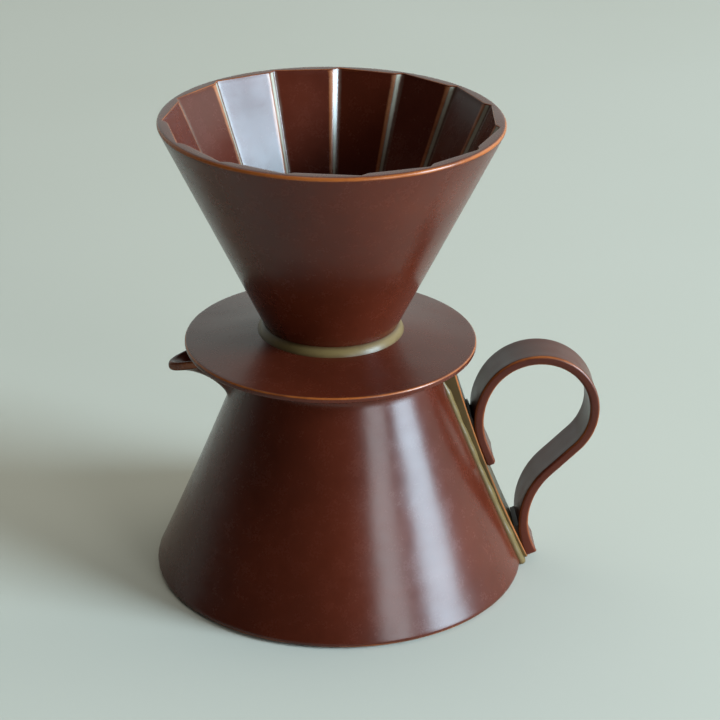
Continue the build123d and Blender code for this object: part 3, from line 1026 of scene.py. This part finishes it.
def bare_clay(name):
    """Unglazed stoneware, sandy and matt."""
    nodes = Nodes(name)
    grain = nodes.noise(900.0, detail=4.0, roughness=0.7)
    patch = nodes.noise(70.0, detail=3.0)
    mixed = nodes.weighted((grain, 0.5), (patch, 0.5))
    tones = [(0.35, colour(92, 60, 42)), (0.55, colour(128, 88, 62)), (0.7, colour(150, 110, 80))]
    nodes.link(nodes.ramp(mixed, tones), nodes.shader.inputs["Base Color"])
    rough = nodes.ramp(grain, [(0.3, 0.72), (0.7, 0.9)])
    nodes.link(rough, nodes.shader.inputs["Roughness"])
    nodes.link(nodes.bump(grain, 0.5, 0.00025), nodes.shader.inputs["Normal"])
    return nodes.material


# each glaze in its three tones: dark, body, light
RED = (colour(54, 19, 9), colour(72, 26, 13), colour(90, 36, 20))
STRIP_BROWN = (colour(42, 30, 14), colour(66, 48, 22), colour(92, 66, 32))
# the notch joints' slip: its near-black tone is partly painted shade that falls in the notches
SLIP_AND_SHADE_BROWN = (colour(20, 12, 7), colour(34, 21, 12), colour(50, 33, 19))
POOL_BROWN = (colour(50, 33, 19), colour(68, 47, 27), colour(88, 64, 38))
OLIVE = colour(112, 100, 66)
# painted reflection: the pale cream of the cone's slanted step faces where they catch the window
STEP_REFLECTION_CREAM = colour(172, 168, 150)
POOL_OLIVE = colour(104, 84, 50)

red_glaze = glaze("red_glaze", RED, OLIVE)
# the dripper glaze's second colour is a painted reflection on the cone's step faces, pooled glaze in
# corners and coil
dripper_glaze = glaze("dripper_glaze", RED, STEP_REFLECTION_CREAM, shine=0.25)
strap_glaze = glaze("strap_glaze", RED, OLIVE, rough=(0.3, 0.38), waves=0.2, shine=0.24)
strip_glaze = glaze("strip_glaze", STRIP_BROWN, OLIVE, rough=(0.34, 0.44), waves=0.2, shine=0.18)
slip_joint = glaze("slip_joint", SLIP_AND_SHADE_BROWN, OLIVE, rough=(0.5, 0.6), waves=0.0, shine=0.2)
pooled_glaze = glaze("pooled_glaze", POOL_BROWN, POOL_OLIVE, rough=(0.3, 0.4), waves=0.3, shine=0.18)
foot_clay = bare_clay("bare_clay")


# ---- pieces: piece, body, material, record slot, CAD nodes it stands for ----
PIECES = [
    (
        server_shell,
        "server",
        red_glaze,
        "red_glaze",
        ["server_wall", "server_lip", "pouring_spout", "inner_base_coil"],
    ),
    (server_floor, "server", red_glaze, "red_glaze", ["server_base"]),
    (server_foot, "server", foot_clay, "bare_clay", ["foot_ring"]),
    (handle_strip, "server", strip_glaze, "strip_glaze", ["handle_backing_strip"]),
    (handle_strap, "server", strap_glaze, "strap_glaze", ["handle_strap"]),
    (front_seam, "server", pooled_glaze, "pooled_glaze", ["strip_seam_front"]),
    (back_seam, "server", pooled_glaze, "pooled_glaze", ["strip_seam_back"]),
    (dripper_cone, "dripper", dripper_glaze, "dripper_glaze", ["dripper_cone"]),
    (dripper_saucer, "dripper", dripper_glaze, "dripper_glaze", ["dripper_saucer"]),
    (joint_bead, "dripper", pooled_glaze, "pooled_glaze", ["cone_joint_bead"]),
    (locating_ring, "dripper", dripper_glaze, "dripper_glaze", ["locating_ring", "ring_joint_coil"]),
]
for piece, body, material, record_slot, stands_for in PIECES:
    piece.data.materials.append(material)
    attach(piece, body)
    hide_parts(*stands_for)

# the two notch joints keep their CAD shape and only take the slip's material, dark partly as painted
# shade
for node in ("strap_tail_joint", "strap_foot_joint"):
    for material_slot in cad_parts[node].material_slots:
        material_slot.material = slip_joint


# ---- floor ----
FLOOR_HALF = 6.0              # metres


def make_floor():
    """Plain pale ground."""
    half = FLOOR_HALF
    corners = [(-half, -half, 0), (half, -half, 0), (half, half, 0), (-half, half, 0)]
    mesh = bpy.data.meshes.new("floor")
    mesh.from_pydata(corners, [], [(0, 1, 2, 3)])
    floor = bpy.data.objects.new("floor", mesh)
    bpy.context.scene.collection.objects.link(floor)
    nodes = Nodes("floor_paper")
    base = nodes.ramp(nodes.noise(2.0), [(0.3, colour(178, 174, 160)), (0.7, colour(183, 179, 166))])
    nodes.link(base, nodes.shader.inputs["Base Color"])
    nodes.shader.inputs["Roughness"].default_value = 0.9
    nodes.shader.inputs["Specular IOR Level"].default_value = 0.1
    floor.data.materials.append(nodes.material)


make_floor()


# ---- light ----
# a window to the front right in two stacked panels, a second pane further round, a warm side
# wall and a soft ceiling, each as: name, azimuth and elevation in degrees, distance, width and
# height in metres, power in watts, tint
LIGHTS = [
    ("window_low", -24.0, 6.0, 3.0, 1.2, 0.75, 58.0, (0.64, 0.85, 1.0)),
    ("window_sky", -22.5, 22.0, 3.0, 1.28, 0.85, 195.0, (0.62, 0.83, 1.0)),
    ("window_far_pane", -58.0, 14.0, 3.0, 0.9, 1.2, 32.0, (0.84, 0.94, 1.0)),
    ("side_wall", 25.0, 25.0, 3.0, 2.4, 2.0, 20.0, (1.0, 0.96, 0.90)),
    ("ceiling", 130.0, 75.0, 2.5, 2.2, 2.2, 13.0, (1.0, 0.98, 0.95)),
]


def area_light(name, azimuth, elevation, distance, width, height, power, tint, aim):
    """Soft panel facing the set. Azimuth is measured from +X towards +Y, in degrees."""
    lamp = bpy.data.lights.new(name, "AREA")
    lamp.shape = "RECTANGLE"
    lamp.size = width
    lamp.size_y = height
    lamp.energy = power
    lamp.color = tint
    panel = bpy.data.objects.new(name, lamp)
    away = Vector((
        cos(radians(azimuth)) * cos(radians(elevation)),
        sin(radians(azimuth)) * cos(radians(elevation)),
        sin(radians(elevation)),
    ))
    panel.location = aim + away * distance
    panel.rotation_mode = "QUATERNION"
    panel.rotation_quaternion = away.to_track_quat("Z", "Y")
    panel.visible_camera = False
    bpy.context.scene.collection.objects.link(panel)


set_middle = 0.5 * (cad_low + cad_high)
for light in LIGHTS:
    area_light(*light, aim=set_middle)

TOWARDS_WALL = (0.26, 0.97, 0.0)
ROOM_TINT = (0.56, 0.63, 0.60, 1.0)
ROOM_BANDS = (("From Min", -0.35), ("From Max", 0.75), ("To Min", 0.02), ("To Max", 1.4))


def make_room():
    """Room light: a pale wall behind the set, a dim room in front and to the left."""
    world = bpy.data.worlds.new("room")
    world.use_nodes = True
    tree = world.node_tree
    direction = tree.nodes.new("ShaderNodeTexCoord").outputs["Generated"]
    towards_wall = tree.nodes.new("ShaderNodeVectorMath")
    towards_wall.operation = "DOT_PRODUCT"
    towards_wall.inputs[1].default_value = TOWARDS_WALL
    tree.links.new(direction, towards_wall.inputs[0])
    band = tree.nodes.new("ShaderNodeMapRange")
    band.interpolation_type = "SMOOTHSTEP"
    for name, value in ROOM_BANDS:
        band.inputs[name].default_value = value
    tree.links.new(towards_wall.outputs["Value"], band.inputs["Value"])
    background = tree.nodes["Background"]
    background.inputs["Color"].default_value = ROOM_TINT
    tree.links.new(band.outputs["Result"], background.inputs["Strength"])
    bpy.context.scene.world = world


make_room()


# ---- camera ----
CAMERA_LENS = 112.06
SENSOR = 36.0
VIEW_TURN = -3.54             # degrees the line of sight is turned from +Y towards -X
VIEW_DROP = 24.61             # degrees it looks down
CAMERA_ROLL = 0.65            # degrees
CAMERA_PLACE = Vector((-37.6, -717.9, 407.7)) * MM

sight = Vector((
    -sin(radians(VIEW_TURN)) * cos(radians(VIEW_DROP)),
    cos(radians(VIEW_TURN)) * cos(radians(VIEW_DROP)),
    -sin(radians(VIEW_DROP)),
))
roll = Matrix.Rotation(radians(CAMERA_ROLL), 4, "Z").to_quaternion()
camera_data = bpy.data.cameras.new("camera")
camera_data.lens = CAMERA_LENS
camera_data.sensor_width = SENSOR
camera = bpy.data.objects.new("camera", camera_data)
camera.location = CAMERA_PLACE
camera.rotation_mode = "QUATERNION"
camera.rotation_quaternion = sight.to_track_quat("-Z", "Y") @ roll
bpy.context.scene.collection.objects.link(camera)
bpy.context.scene.camera = camera

bpy.context.scene.view_settings.view_transform = "Standard"
